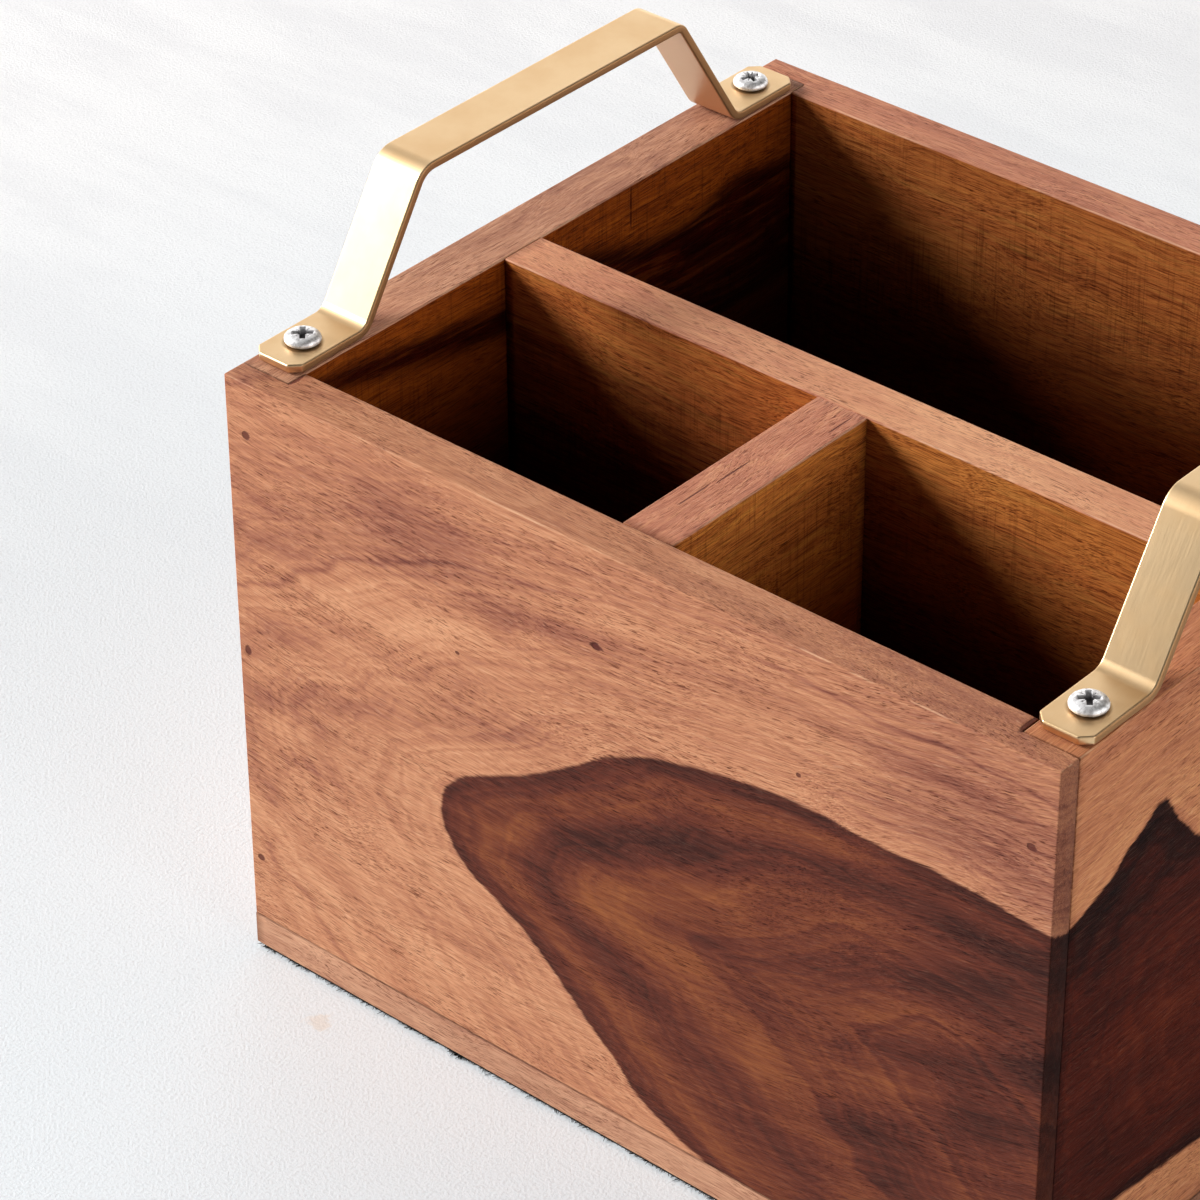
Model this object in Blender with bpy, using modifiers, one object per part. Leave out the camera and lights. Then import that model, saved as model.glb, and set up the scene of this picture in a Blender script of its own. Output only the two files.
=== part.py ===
"""Cutlery holder: an open hardwood box with three bays and two bent brass strip handles.

+X runs along the front from left to right, +Y from front to back and +Z up. The origin is the
centre of the base, on the surface that the holder stands on. All lengths are in metres.

The long front and back boards lap over the ends of the two end boards in rabbets. The dividers
are butted between the boards, the bottom board is planted on below, and felt covers its underside.
Glue and headless brads hold the wood, and two screws hold each handle on an end board's top edge.
"""

import math

import bmesh
import bpy
from mathutils import Vector

# Box boards
BOX_LENGTH = 0.215
BOX_DEPTH = 0.1815
WOOD_HEIGHT = 0.150
FRONT_THICKNESS = 0.011
BACK_THICKNESS = 0.0105
END_THICKNESS = 0.013
BOTTOM_THICKNESS = 0.008
LIP_SHARE = 0.5
ARRIS_RADIUS = 0.0006

# Dividers
FRONT_BAY_DEPTH = 0.0618
LONG_DIVIDER_THICKNESS = 0.012
SHORT_DIVIDER_THICKNESS = 0.013
SHORT_DIVIDER_SHIFT = -0.0014

# Felt lining under the base
FELT_THICKNESS = 0.001
FELT_INSET = 0.0008
FELT_CORNER_RADIUS = 0.003

# Brass strip handles: the lengths follow the strip's upper side
STRIP_WIDTH = 0.013
STRIP_THICKNESS = 0.002
STRIP_EDGE_RADIUS = 0.0005
FOOT_LENGTH = 0.0211
FOOT_CORNER_CLIP = 0.0024
RISER_RUN = 0.0192
HANDLE_HEIGHT = 0.0328
HANDLE_END_MARGIN = 0.00815
BEND_INNER_RADIUS = 0.002

# Pan head cross recess screws
SCREW_INSET = 0.009
SCREW_SHANK_RADIUS = 0.002
SCREW_LENGTH = 0.024
SCREW_TIP_LENGTH = 0.004
SCREW_HEAD_RADIUS = 0.004
SCREW_HEAD_HEIGHT = 0.0026
SCREW_HEAD_SIDE = 0.0011
RECESS_SPAN = 0.0044
RECESS_SLOT = 0.0009
RECESS_DEPTH = 0.0016
RECESS_FOOT_SHARE = 0.45

# Brads
BRAD_RADIUS = 0.0007
BRAD_SET = 0.0006
BRAD_TIP_LENGTH = 0.0018
LONG_BRAD = 0.025
SHORT_BRAD_TO_SCREW = 0.00255
BRAD_ROWS = 3
RIM_TO_CORNER_BRAD = 0.013
RIM_TO_DIVIDER_BRAD = 0.023
WALL_FOOT_TO_BRAD = 0.017
CORNER_BRAD_INSETS = (0.0029, 0.0026, 0.0056)
FRONT_DIVIDER_BRAD_SIDE = 0.0025
BASE_FRONT_BRAD_MARGIN = 0.025
BASE_FRONT_BRAD_COUNT = 4
BASE_END_BRAD_MARGIN = 0.045
BASE_END_BRAD_COUNT = 2

# Fits and mesh fineness
JOINT_GAP = 0.0003
CUT_OVERRUN = 0.002
MERGE_DISTANCE = 0.00001
ARRIS_SEGMENTS = 2
BEND_STEPS = 5
SCREW_SIDES = 20
BRAD_SIDES = 8
HOLE_SIDES = 16
ROUND_PROFILE_SHARE = 0.5
SOFTENED_ANGLE = math.radians(60)
CREASE_ANGLE = math.radians(40)
QUARTER_TURN = math.radians(90)

# Levels and faces that several pieces share
BOTTOM_LOW = FELT_THICKNESS + JOINT_GAP
BOTTOM_HIGH = BOTTOM_LOW + BOTTOM_THICKNESS
WALL_LOW = BOTTOM_HIGH + JOINT_GAP
RIM = BOTTOM_LOW + WOOD_HEIGHT
LEFT = -BOX_LENGTH / 2
RIGHT = BOX_LENGTH / 2
FRONT = -BOX_DEPTH / 2
BACK = BOX_DEPTH / 2
LEFT_INNER = LEFT + END_THICKNESS
RIGHT_INNER = RIGHT - END_THICKNESS
FRONT_INNER = FRONT + FRONT_THICKNESS
BACK_INNER = BACK - BACK_THICKNESS
FRONT_SHOULDER = FRONT + FRONT_THICKNESS * LIP_SHARE
BACK_SHOULDER = BACK - BACK_THICKNESS * LIP_SHARE
LONG_DIVIDER_FRONT = FRONT_INNER + FRONT_BAY_DEPTH
LONG_DIVIDER_BACK = LONG_DIVIDER_FRONT + LONG_DIVIDER_THICKNESS
SHORT_DIVIDER_LEFT = SHORT_DIVIDER_SHIFT - SHORT_DIVIDER_THICKNESS / 2
SHORT_DIVIDER_RIGHT = SHORT_DIVIDER_SHIFT + SHORT_DIVIDER_THICKNESS / 2
FOOT_TOP = RIM + JOINT_GAP + STRIP_THICKNESS
HANDLE_HALF_LENGTH = BOX_DEPTH / 2 - HANDLE_END_MARGIN
FOOT_BEND = HANDLE_HALF_LENGTH - FOOT_LENGTH
BAR_BEND = FOOT_BEND - RISER_RUN
SCREW_REACH = HANDLE_HALF_LENGTH - SCREW_INSET
SCREW_SEAT = FOOT_TOP + JOINT_GAP
SHORT_BRAD = BOX_DEPTH / 2 - SCREW_REACH - SCREW_SHANK_RADIUS - SHORT_BRAD_TO_SCREW - BRAD_SET

INTO_BACK = Vector((0, 1, 0))
INTO_FRONT = Vector((0, -1, 0))
INTO_RIGHT = Vector((1, 0, 0))
INTO_LEFT = Vector((-1, 0, 0))
UPWARDS = Vector((0, 0, 1))
DOWNWARDS = Vector((0, 0, -1))
X, Y, Z = range(3)


def clear_scene():
    for item in list(bpy.data.objects):
        bpy.data.objects.remove(item, do_unlink=True)


def new_collection(name):
    group = bpy.data.collections.new(name)
    bpy.context.scene.collection.children.link(group)
    return group


def new_material(name, colour, roughness, metallic):
    material = bpy.data.materials.new(name)
    material.use_nodes = True
    shader = material.node_tree.nodes["Principled BSDF"]
    shader.inputs["Base Color"].default_value = (*colour, 1)
    shader.inputs["Roughness"].default_value = roughness
    shader.inputs["Metallic"].default_value = metallic
    material.diffuse_color = (*colour, 1)
    return material


def mesh_from(bm, name):
    mesh = bpy.data.meshes.new(name)
    bm.to_mesh(mesh)
    bm.free()
    return mesh


def place(name, mesh, location, material):
    """Add one sub-part to the holder, hung from its empty."""
    item = bpy.data.objects.new(name, mesh)
    item.location = location
    item.parent = holder
    if material.name not in mesh.materials:
        mesh.materials.append(material)
    parts.objects.link(item)
    return item


def place_cutter(name, mesh, location):
    item = bpy.data.objects.new(name, mesh)
    item.location = location
    item.parent = holder
    item.hide_render = True
    item.display_type = "WIRE"
    cutters.objects.link(item)
    return item


def cut(item, cutter):
    boolean = item.modifiers.new("cut_" + cutter.name, "BOOLEAN")
    boolean.operation = "DIFFERENCE"
    boolean.solver = "EXACT"
    boolean.object = cutter


def shade_round(item):
    item.data.shade_smooth()
    item.data.set_sharp_from_angle(angle=CREASE_ANGLE)


def block(low, high):
    """A box between two corners, as a bmesh in the holder's own axes."""
    low = Vector(low)
    high = Vector(high)
    bm = bmesh.new()
    bmesh.ops.create_cube(bm, size=1)
    bmesh.ops.scale(bm, vec=high - low, verts=bm.verts)
    bmesh.ops.translate(bm, vec=(low + high) / 2, verts=bm.verts)
    return bm


def lies_on(element, plane):
    """Whether an edge or a face lies on a plane, which is given by its axis and place."""
    axis, level = plane
    return all(abs(vert.co[axis] - level) < MERGE_DISTANCE for vert in element.verts)


def board(name, bm, eased, material):
    """Ease the named edges of a board, each given by the two planes that meet there."""
    edges = [edge for edge in bm.edges if any(lies_on(edge, a) and lies_on(edge, b) for a, b in eased)]
    bmesh.ops.bevel(
        bm,
        geom=edges,
        offset=ARRIS_RADIUS,
        segments=ARRIS_SEGMENTS,
        profile=ROUND_PROFILE_SHARE,
        affect="EDGES",
        clamp_overlap=True,
    )
    centre = sum((vert.co for vert in bm.verts), Vector()) / len(bm.verts)
    bmesh.ops.translate(bm, vec=-centre, verts=bm.verts)
    return place(name, mesh_from(bm, name), centre, material)


def wall_board(name, outer, inner, shoulder, material):
    """The front or back board: full thickness between its rabbets, with a thin lip past each."""
    left_step = LEFT_INNER + JOINT_GAP
    right_step = RIGHT_INNER - JOINT_GAP
    bm = block(
        (left_step, min(outer, inner), WALL_LOW),
        (right_step, max(outer, inner), RIM),
    )
    everything = bm.verts[:] + bm.edges[:] + bm.faces[:]
    bmesh.ops.bisect_plane(bm, geom=everything, plane_co=(0, shoulder, 0), plane_no=(0, 1, 0))
    for step, end in ((left_step, LEFT), (right_step, RIGHT)):
        end_faces = [face for face in bm.faces if lies_on(face, (X, step))]
        lip_face = min(end_faces, key=lambda face: abs(face.calc_center_median().y - outer))
        lip_end = bmesh.ops.extrude_discrete_faces(bm, faces=[lip_face])["faces"][0]
        bmesh.ops.translate(bm, vec=(end - step, 0, 0), verts=lip_end.verts)
    eased = [
        ((Y, outer), (Z, RIM)),
        ((Y, inner), (Z, RIM)),
        ((X, LEFT), (Z, RIM)),
        ((X, RIGHT), (Z, RIM)),
        ((X, LEFT), (Y, outer)),
        ((X, RIGHT), (Y, outer)),
    ]
    return board(name, bm, eased, material)


def end_board(name, outer, inner, material):
    """An end board, which sits in the rabbets of the front and back boards."""
    bm = block(
        (min(outer, inner), FRONT_SHOULDER + JOINT_GAP, WALL_LOW),
        (max(outer, inner), BACK_SHOULDER - JOINT_GAP, RIM),
    )
    return board(name, bm, [((X, outer), (Z, RIM)), ((X, inner), (Z, RIM))], material)


def long_divider(material):
    bm = block(
        (LEFT_INNER + JOINT_GAP, LONG_DIVIDER_FRONT, WALL_LOW),
        (RIGHT_INNER - JOINT_GAP, LONG_DIVIDER_BACK, RIM),
    )
    eased = [((Y, LONG_DIVIDER_FRONT), (Z, RIM)), ((Y, LONG_DIVIDER_BACK), (Z, RIM))]
    return board("long_divider", bm, eased, material)


def short_divider(material):
    bm = block(
        (SHORT_DIVIDER_LEFT, FRONT_INNER + JOINT_GAP, WALL_LOW),
        (SHORT_DIVIDER_RIGHT, LONG_DIVIDER_FRONT - JOINT_GAP, RIM),
    )
    eased = [((X, SHORT_DIVIDER_LEFT), (Z, RIM)), ((X, SHORT_DIVIDER_RIGHT), (Z, RIM))]
    return board("short_divider", bm, eased, material)


def bottom_board(material):
    bm = block((LEFT, FRONT, BOTTOM_LOW), (RIGHT, BACK, BOTTOM_HIGH))
    faces = [(X, LEFT), (X, RIGHT), (Y, FRONT), (Y, BACK)]
    eased = [(face, (Z, BOTTOM_LOW)) for face in faces]
    eased += [(end, face) for end in faces[:2] for face in faces[2:]]
    return board("bottom_board", bm, eased, material)


def base_felt(material):
    """The felt sheet glued under the bottom board, cut a little small with rounded corners."""
    bm = block(
        (LEFT + FELT_INSET, FRONT + FELT_INSET, 0),
        (RIGHT - FELT_INSET, BACK - FELT_INSET, FELT_THICKNESS),
    )
    flat_levels = ((Z, 0), (Z, FELT_THICKNESS))
    corners = [edge for edge in bm.edges if not any(lies_on(edge, level) for level in flat_levels)]
    bmesh.ops.bevel(
        bm,
        geom=corners,
        offset=FELT_CORNER_RADIUS,
        segments=BEND_STEPS,
        profile=ROUND_PROFILE_SHARE,
        affect="EDGES",
        clamp_overlap=True,
    )
    return place("base_felt", mesh_from(bm, "base_felt"), (0, 0, 0), material)


def rounded_path(corners, radii):
    """Points of a bent line in the plane: each inner corner becomes an arc of its radius."""
    points = [corners[0]]
    for before, corner, after, radius in zip(corners, corners[1:], corners[2:], radii):
        back = (before - corner).normalized()
        ahead = (after - corner).normalized()
        half_turn = (math.pi - back.angle(ahead)) / 2
        tangent = radius * math.tan(half_turn)
        middle = (back + ahead).normalized()
        centre = corner + middle * (radius / math.cos(half_turn))
        first = (corner + back * tangent - centre).normalized()
        last = (corner + ahead * tangent - centre).normalized()
        for step in range(BEND_STEPS + 1):
            points.append(centre + first.slerp(last, step / BEND_STEPS) * radius)
    points.append(corners[-1])
    return points


def handle_path():
    """The strip's upper side from its near end to its far end, as points with no X."""
    bar_top = RIM + HANDLE_HEIGHT
    corners = [
        Vector((0, -HANDLE_HALF_LENGTH, FOOT_TOP)),
        Vector((0, -FOOT_BEND, FOOT_TOP)),
        Vector((0, -BAR_BEND, bar_top)),
        Vector((0, BAR_BEND, bar_top)),
        Vector((0, FOOT_BEND, FOOT_TOP)),
        Vector((0, HANDLE_HALF_LENGTH, FOOT_TOP)),
    ]
    outer_radius = BEND_INNER_RADIUS + STRIP_THICKNESS
    radii = [BEND_INNER_RADIUS, outer_radius, outer_radius, BEND_INNER_RADIUS]
    return rounded_path(corners, radii)


def handle_mesh():
    """The strip's upper surface, drawn along the bent line from its clipped near end."""
    first, *inner, last = handle_path()
    clip = Vector((0, FOOT_CORNER_CLIP, 0))
    half_width = STRIP_WIDTH / 2
    end_half_width = half_width - FOOT_CORNER_CLIP
    rows = [(point, half_width) for point in (first + clip, *inner, last - clip)]
    rows.append((last, end_half_width))
    bm = bmesh.new()
    end_verts = [bm.verts.new(first + Vector((side * end_half_width, 0, 0))) for side in (-1, 1)]
    edge = bm.edges.new(end_verts)
    for point, half in rows:
        drawn = bmesh.ops.extrude_edge_only(bm, edges=[edge])["geom"]
        edge = next(part for part in drawn if isinstance(part, bmesh.types.BMEdge))
        for vert in edge.verts:
            vert.co = point + Vector((math.copysign(half, vert.co.x), 0, 0))
    bmesh.ops.recalc_face_normals(bm, faces=bm.faces)
    if next(iter(bm.faces)).normal.z < 0:
        bmesh.ops.reverse_faces(bm, faces=bm.faces)
    return mesh_from(bm, "handle_strip")


def handle(name, middle, mesh, material):
    """A bent brass strip with clipped foot corners, softened edges and a hole in each foot."""
    item = place(name, mesh, (middle, 0, 0), material)
    shell = item.modifiers.new("strip_thickness", "SOLIDIFY")
    shell.thickness = STRIP_THICKNESS
    shell.offset = -1
    shell.use_even_offset = True
    soften = item.modifiers.new("soft_edges", "BEVEL")
    soften.width = STRIP_EDGE_RADIUS
    soften.segments = ARRIS_SEGMENTS
    soften.limit_method = "ANGLE"
    soften.angle_limit = SOFTENED_ANGLE
    shade_round(item)
    return item


def turned_mesh(name, profile, sides, material):
    """A mesh that is turned about Z from a profile, which runs from its top down to its point."""
    bm = bmesh.new()
    verts = [bm.verts.new((radius, 0, height)) for radius, height in profile]
    for first, second in zip(verts, verts[1:]):
        bm.edges.new((first, second))
    draft = bpy.data.objects.new(name + "_profile", mesh_from(bm, name + "_profile"))
    cutters.objects.link(draft)
    turn = draft.modifiers.new("turn", "SCREW")
    turn.axis = "Z"
    turn.angle = math.tau
    turn.steps = sides
    turn.render_steps = sides
    turn.use_merge_vertices = True
    turn.merge_threshold = MERGE_DISTANCE
    depsgraph = bpy.context.evaluated_depsgraph_get()
    mesh = bpy.data.meshes.new_from_object(draft.evaluated_get(depsgraph))
    mesh.name = name
    mesh.materials.clear()
    mesh.materials.append(material)
    profile_mesh = draft.data
    bpy.data.objects.remove(draft, do_unlink=True)
    bpy.data.meshes.remove(profile_mesh)
    return mesh


def screw_mesh(material):
    """Head, shank and point, with the underside of the head at height 0."""
    dome_height = SCREW_HEAD_HEIGHT - SCREW_HEAD_SIDE
    dome = []
    for step in range(BEND_STEPS + 1):
        angle = QUARTER_TURN * step / BEND_STEPS
        dome.append((
            SCREW_HEAD_RADIUS * math.sin(angle),
            SCREW_HEAD_SIDE + dome_height * math.cos(angle),
        ))
    shank_end = SCREW_TIP_LENGTH - SCREW_LENGTH
    profile = dome + [
        (SCREW_HEAD_RADIUS, 0),
        (SCREW_SHANK_RADIUS, 0),
        (SCREW_SHANK_RADIUS, shank_end),
        (0, -SCREW_LENGTH),
    ]
    return turned_mesh("handle_screw", profile, SCREW_SIDES, material)


def driver_blade():
    """One tapering blade of the driver, which leaves half of the cross in a screw's head."""
    head_top = SCREW_HEAD_HEIGHT
    half_span = RECESS_SPAN / 2
    half_slot = RECESS_SLOT / 2
    bm = block(
        (-half_span, -half_slot, head_top - RECESS_DEPTH),
        (half_span, half_slot, head_top + CUT_OVERRUN),
    )
    foot = [vert for vert in bm.verts if vert.co.z < head_top]
    bmesh.ops.scale(bm, vec=(RECESS_FOOT_SHARE, 1, 1), verts=foot)
    return mesh_from(bm, "driver_blade")


def handle_screw(name, x, y, mesh, blade, material):
    item = place(name, mesh, (x, y, SCREW_SEAT), material)
    for direction, angle in (("along", 0), ("across", QUARTER_TURN)):
        half_cross = place_cutter(name + "_recess_" + direction, blade, item.location)
        half_cross.rotation_euler.z = angle
        cut(item, half_cross)
    shade_round(item)
    return item


def add_hole(bm, entry, direction, radius, depth, sides):
    """Add the shape of one drilled hole to a cutter's mesh, from just outside its entry point."""
    length = CUT_OVERRUN + depth
    verts = bmesh.ops.create_cone(
        bm,
        cap_ends=True,
        segments=sides,
        radius1=radius,
        radius2=radius,
        depth=length,
    )["verts"]
    turn = DOWNWARDS.rotation_difference(direction).to_matrix()
    bmesh.ops.rotate(bm, cent=(0, 0, 0), matrix=turn, verts=verts)
    bmesh.ops.translate(bm, vec=entry + direction * (length / 2 - CUT_OVERRUN), verts=verts)


def brad_mesh(name, length, material):
    """A headless brad with its upper end at height 0 and its point below."""
    profile = [
        (0, 0),
        (BRAD_RADIUS, 0),
        (BRAD_RADIUS, BRAD_TIP_LENGTH - length),
        (0, -length),
    ]
    return turned_mesh(name, profile, BRAD_SIDES, material)


def spread(first, last, count):
    """Evenly spaced places from the first to the last."""
    return [first + (last - first) * step / (count - 1) for step in range(count)]


def drive_brads(prefix, entries, direction, length, mesh, material, boards):
    """Drive a row of brads from their entry points, and drill the boards that they hold."""
    for number, entry in enumerate(entries, start=1):
        start = Vector(entry)
        item = place(prefix + "_" + str(number), mesh, start + direction * BRAD_SET, material)
        item.rotation_mode = "QUATERNION"
        item.rotation_quaternion = DOWNWARDS.rotation_difference(direction)
        depth = BRAD_SET + length + JOINT_GAP
        for name in boards:
            add_hole(brad_holes[name], start, direction, BRAD_RADIUS + JOINT_GAP, depth, BRAD_SIDES)


clear_scene()
parts = new_collection("cutlery_holder")
cutters = new_collection("cutters")
holder = bpy.data.objects.new("cutlery_holder_origin", None)
parts.objects.link(holder)

side_wood = new_material("side_wood", (0.42, 0.20, 0.11), 0.5, 0)
end_wood = new_material("end_wood", (0.36, 0.17, 0.10), 0.5, 0)
divider_wood = new_material("divider_wood", (0.34, 0.16, 0.09), 0.5, 0)
bottom_wood = new_material("bottom_wood", (0.45, 0.23, 0.12), 0.5, 0)
black_felt = new_material("black_felt", (0.02, 0.022, 0.02), 0.95, 0)
brushed_brass = new_material("brushed_brass", (0.72, 0.52, 0.27), 0.35, 1)
zinc_steel = new_material("zinc_steel", (0.78, 0.78, 0.80), 0.25, 1)
brad_steel = new_material("brad_steel", (0.16, 0.11, 0.09), 0.6, 1)

boards = {
    "front_panel": wall_board("front_panel", FRONT, FRONT_INNER, FRONT_SHOULDER, side_wood),
    "back_panel": wall_board("back_panel", BACK, BACK_INNER, BACK_SHOULDER, side_wood),
    "left_end_panel": end_board("left_end_panel", LEFT, LEFT_INNER, end_wood),
    "right_end_panel": end_board("right_end_panel", RIGHT, RIGHT_INNER, end_wood),
    "long_divider": long_divider(divider_wood),
    "short_divider": short_divider(divider_wood),
    "bottom_board": bottom_board(bottom_wood),
}
base_felt(black_felt)

strip = handle_mesh()
screw = screw_mesh(zinc_steel)
blade = driver_blade()
for side, middle in (("left", LEFT + END_THICKNESS / 2), ("right", RIGHT - END_THICKNESS / 2)):
    bar = handle(side + "_handle", middle, strip, brushed_brass)
    holes = bmesh.new()
    for place_name, y in (("front", -SCREW_REACH), ("back", SCREW_REACH)):
        name = side + "_handle_screw_" + place_name
        handle_screw(name, middle, y, screw, blade, zinc_steel)
        entry = Vector((middle, y, FOOT_TOP))
        depth = SCREW_LENGTH + JOINT_GAP
        add_hole(holes, entry, DOWNWARDS, SCREW_SHANK_RADIUS + JOINT_GAP, depth, HOLE_SIDES)
    cutter = place_cutter(side + "_screw_holes", mesh_from(holes, side + "_screw_holes"), (0, 0, 0))
    cut(bar, cutter)
    cut(boards[side + "_end_panel"], cutter)

brad_holes = {name: bmesh.new() for name in boards}
long_brad = brad_mesh("long_brad", LONG_BRAD, brad_steel)
short_brad = brad_mesh("short_brad", SHORT_BRAD, brad_steel)
corner_rows = spread(WALL_LOW + WALL_FOOT_TO_BRAD, RIM - RIM_TO_CORNER_BRAD, BRAD_ROWS)
divider_rows = spread(WALL_LOW + WALL_FOOT_TO_BRAD, RIM - RIM_TO_DIVIDER_BRAD, BRAD_ROWS)

for wall, face, inwards in (("front", FRONT, INTO_BACK), ("back", BACK, INTO_FRONT)):
    for end, edge, towards_middle in (("left", LEFT, INTO_RIGHT), ("right", RIGHT, INTO_LEFT)):
        entries = [
            Vector((edge, face, height)) + towards_middle * inset
            for inset, height in zip(CORNER_BRAD_INSETS, corner_rows)
        ]
        prefix = wall + "_" + end + "_corner_brad"
        held = [wall + "_panel", end + "_end_panel"]
        drive_brads(prefix, entries, inwards, SHORT_BRAD, short_brad, brad_steel, held)

entries = [(SHORT_DIVIDER_LEFT + FRONT_DIVIDER_BRAD_SIDE, FRONT, height) for height in divider_rows]
held = ["front_panel", "short_divider"]
drive_brads("front_divider_brad", entries, INTO_BACK, LONG_BRAD, long_brad, brad_steel, held)

entries = [(SHORT_DIVIDER_SHIFT, LONG_DIVIDER_BACK, height) for height in divider_rows]
held = ["long_divider", "short_divider"]
drive_brads("cross_divider_brad", entries, INTO_FRONT, LONG_BRAD, long_brad, brad_steel, held)

long_divider_middle = (LONG_DIVIDER_FRONT + LONG_DIVIDER_BACK) / 2
for end, face, inwards in (("left", LEFT, INTO_RIGHT), ("right", RIGHT, INTO_LEFT)):
    entries = [(face, long_divider_middle, height) for height in divider_rows]
    held = [end + "_end_panel", "long_divider"]
    drive_brads(end + "_divider_brad", entries, inwards, LONG_BRAD, long_brad, brad_steel, held)

first = LEFT + BASE_FRONT_BRAD_MARGIN
last = RIGHT - BASE_FRONT_BRAD_MARGIN
for wall, y in (("front", FRONT + FRONT_THICKNESS / 2), ("back", BACK - BACK_THICKNESS / 2)):
    entries = [(x, y, BOTTOM_LOW) for x in spread(first, last, BASE_FRONT_BRAD_COUNT)]
    held = ["bottom_board", wall + "_panel"]
    drive_brads("base_" + wall + "_brad", entries, UPWARDS, LONG_BRAD, long_brad, brad_steel, held)

first = FRONT + BASE_END_BRAD_MARGIN
last = BACK - BASE_END_BRAD_MARGIN
for end, x in (("left", LEFT + END_THICKNESS / 2), ("right", RIGHT - END_THICKNESS / 2)):
    entries = [(x, y, BOTTOM_LOW) for y in spread(first, last, BASE_END_BRAD_COUNT)]
    held = ["bottom_board", end + "_end_panel"]
    drive_brads("base_" + end + "_brad", entries, UPWARDS, LONG_BRAD, long_brad, brad_steel, held)

for name, holes in brad_holes.items():
    cutter = place_cutter(name + "_brad_holes", mesh_from(holes, name + "_brad_holes"), (0, 0, 0))
    cut(boards[name], cutter)
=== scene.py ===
import math
import random

import bmesh
import bpy
import numpy as np
from mathutils import Matrix, Vector


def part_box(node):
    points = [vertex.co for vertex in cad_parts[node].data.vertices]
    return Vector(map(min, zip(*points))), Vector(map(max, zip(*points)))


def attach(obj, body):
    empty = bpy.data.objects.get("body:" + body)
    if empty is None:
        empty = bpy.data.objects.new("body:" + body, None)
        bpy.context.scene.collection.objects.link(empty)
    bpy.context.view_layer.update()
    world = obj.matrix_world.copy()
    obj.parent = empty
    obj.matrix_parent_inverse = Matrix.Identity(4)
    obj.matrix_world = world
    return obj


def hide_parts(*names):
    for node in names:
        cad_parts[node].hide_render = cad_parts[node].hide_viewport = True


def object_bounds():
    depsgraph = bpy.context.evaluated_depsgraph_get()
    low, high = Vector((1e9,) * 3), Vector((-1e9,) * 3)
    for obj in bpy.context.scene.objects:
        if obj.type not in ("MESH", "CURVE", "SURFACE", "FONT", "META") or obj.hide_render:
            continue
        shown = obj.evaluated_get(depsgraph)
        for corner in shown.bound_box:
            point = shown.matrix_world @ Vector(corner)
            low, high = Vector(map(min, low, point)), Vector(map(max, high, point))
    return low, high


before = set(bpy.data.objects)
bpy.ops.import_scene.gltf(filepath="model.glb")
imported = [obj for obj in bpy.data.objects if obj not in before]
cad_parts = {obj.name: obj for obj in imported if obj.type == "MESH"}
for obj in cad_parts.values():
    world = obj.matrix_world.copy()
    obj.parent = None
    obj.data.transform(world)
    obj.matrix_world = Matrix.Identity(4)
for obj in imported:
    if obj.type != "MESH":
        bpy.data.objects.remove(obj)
cad_low, cad_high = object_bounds()


# Front and back boards: solid hardwood planks, planed and oiled, that lap over the ends of the end
# boards in rabbets. Pale sapwood with fine short pores runs round a dark tongue of heartwood.
# Their arrises are sanded soft, and brads through them are set below the face and filled.
def paint(red, green, blue):
    """A colour as an eye dropper reads it, turned into light."""
    steps = [value / 255 for value in (red, green, blue)]
    light = [((step + 0.055) / 1.055) ** 2.4 if step > 0.04 else step / 12.92 for step in steps]
    return (*light, 1)


class Wire:
    """One output of a shader node. Sums and products of wires add their Math nodes."""

    def __init__(self, finish, socket):
        self.finish = finish
        self.socket = socket

    def math(self, operation, *terms):
        sockets = dict(enumerate(terms))
        return self.finish.node("ShaderNodeMath", {"operation": operation}, sockets)

    def __add__(self, other):
        return self.math("ADD", self, other)

    def __sub__(self, other):
        return self.math("SUBTRACT", self, other)

    def __rsub__(self, other):
        return self.math("SUBTRACT", other, self)

    def __mul__(self, other):
        return self.math("MULTIPLY", self, other)

    def __abs__(self):
        return self.math("ABSOLUTE", self)

    __radd__ = __add__
    __rmul__ = __mul__


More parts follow.
